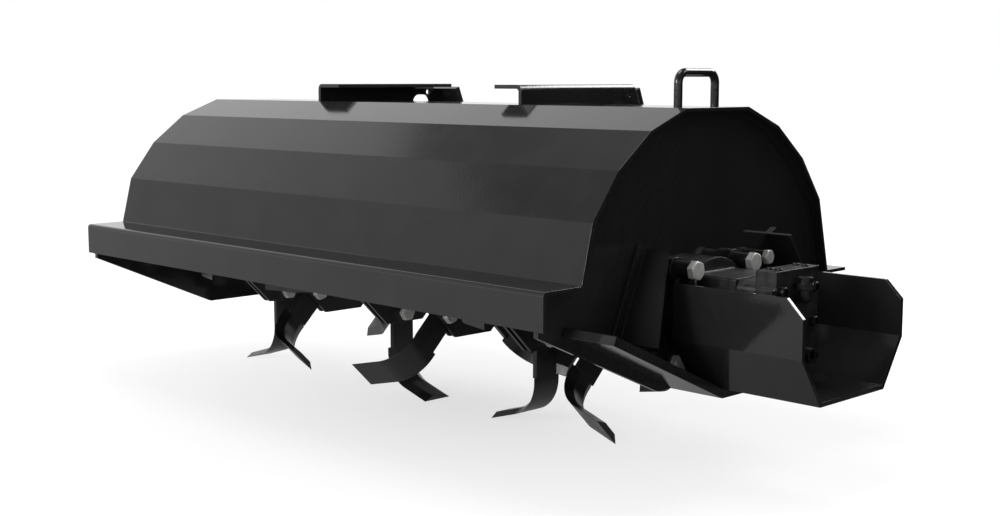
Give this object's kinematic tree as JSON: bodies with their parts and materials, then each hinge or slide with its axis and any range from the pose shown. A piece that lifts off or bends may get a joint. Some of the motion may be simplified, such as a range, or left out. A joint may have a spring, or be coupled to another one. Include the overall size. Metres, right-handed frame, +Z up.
{
  "type": "hydraulic tiller attachment",
  "caption": "Hooded rotary tiller for a compact loader, with a tine rotor driven by a hydraulic motor in an open guard.",
  "frame": {"origin": "on the ground, at the middle of the machine's footprint", "axes": "+X along the rotor towards the motor, +Y towards the loader behind, +Z up"},
  "size_m": [1.411, 0.6771, 0.5469],
  "materials": {
    "painted": "satin black powder coat",
    "tine_steel": "satin black",
    "zinc": "zinc plated",
    "cast": "black painted casting"
  },
  "bodies": {
    "frame": {"hood": "painted", "end_plate_left": "painted", "end_plate_right": "painted", "shoe_left": "painted", "shoe_right": "painted", "brace_front": "painted", "brace_rear": "painted", "motor_guard": "painted", "bearing": "cast", "motor_flange": "cast", "sleeves": "cast", "motor_bolts": "zinc", "motor_front": "cast", "motor_ring": "cast", "motor_cover": "cast", "fittings": "zinc", "bracket_left": "painted", "bracket_right": "painted", "coupler_left": "painted", "coupler_right": "painted", "cross_bar": "painted", "hose_hoop": "painted"},
    "rotor": {"rotor_tube": "tine_steel", "stub_left": "tine_steel", "stub_right": "tine_steel", "flange_1": "tine_steel", "flange_2": "tine_steel", "flange_3": "tine_steel", "flange_4": "tine_steel", "flange_5": "tine_steel", "flange_6": "tine_steel", "tines_1": "tine_steel", "tines_2": "tine_steel", "tines_3": "tine_steel", "tines_4": "tine_steel", "tines_5": "tine_steel", "tines_6": "tine_steel", "tine_bolts": "zinc"}
  },
  "joints": [
    {"name": "rotor_spin", "type": "hinge", "parent": "frame", "child": "rotor", "pos_m": [-0.0735, -0.01461, 0.21594], "axis": [1, 0, 0], "continuous": true}
  ]
}
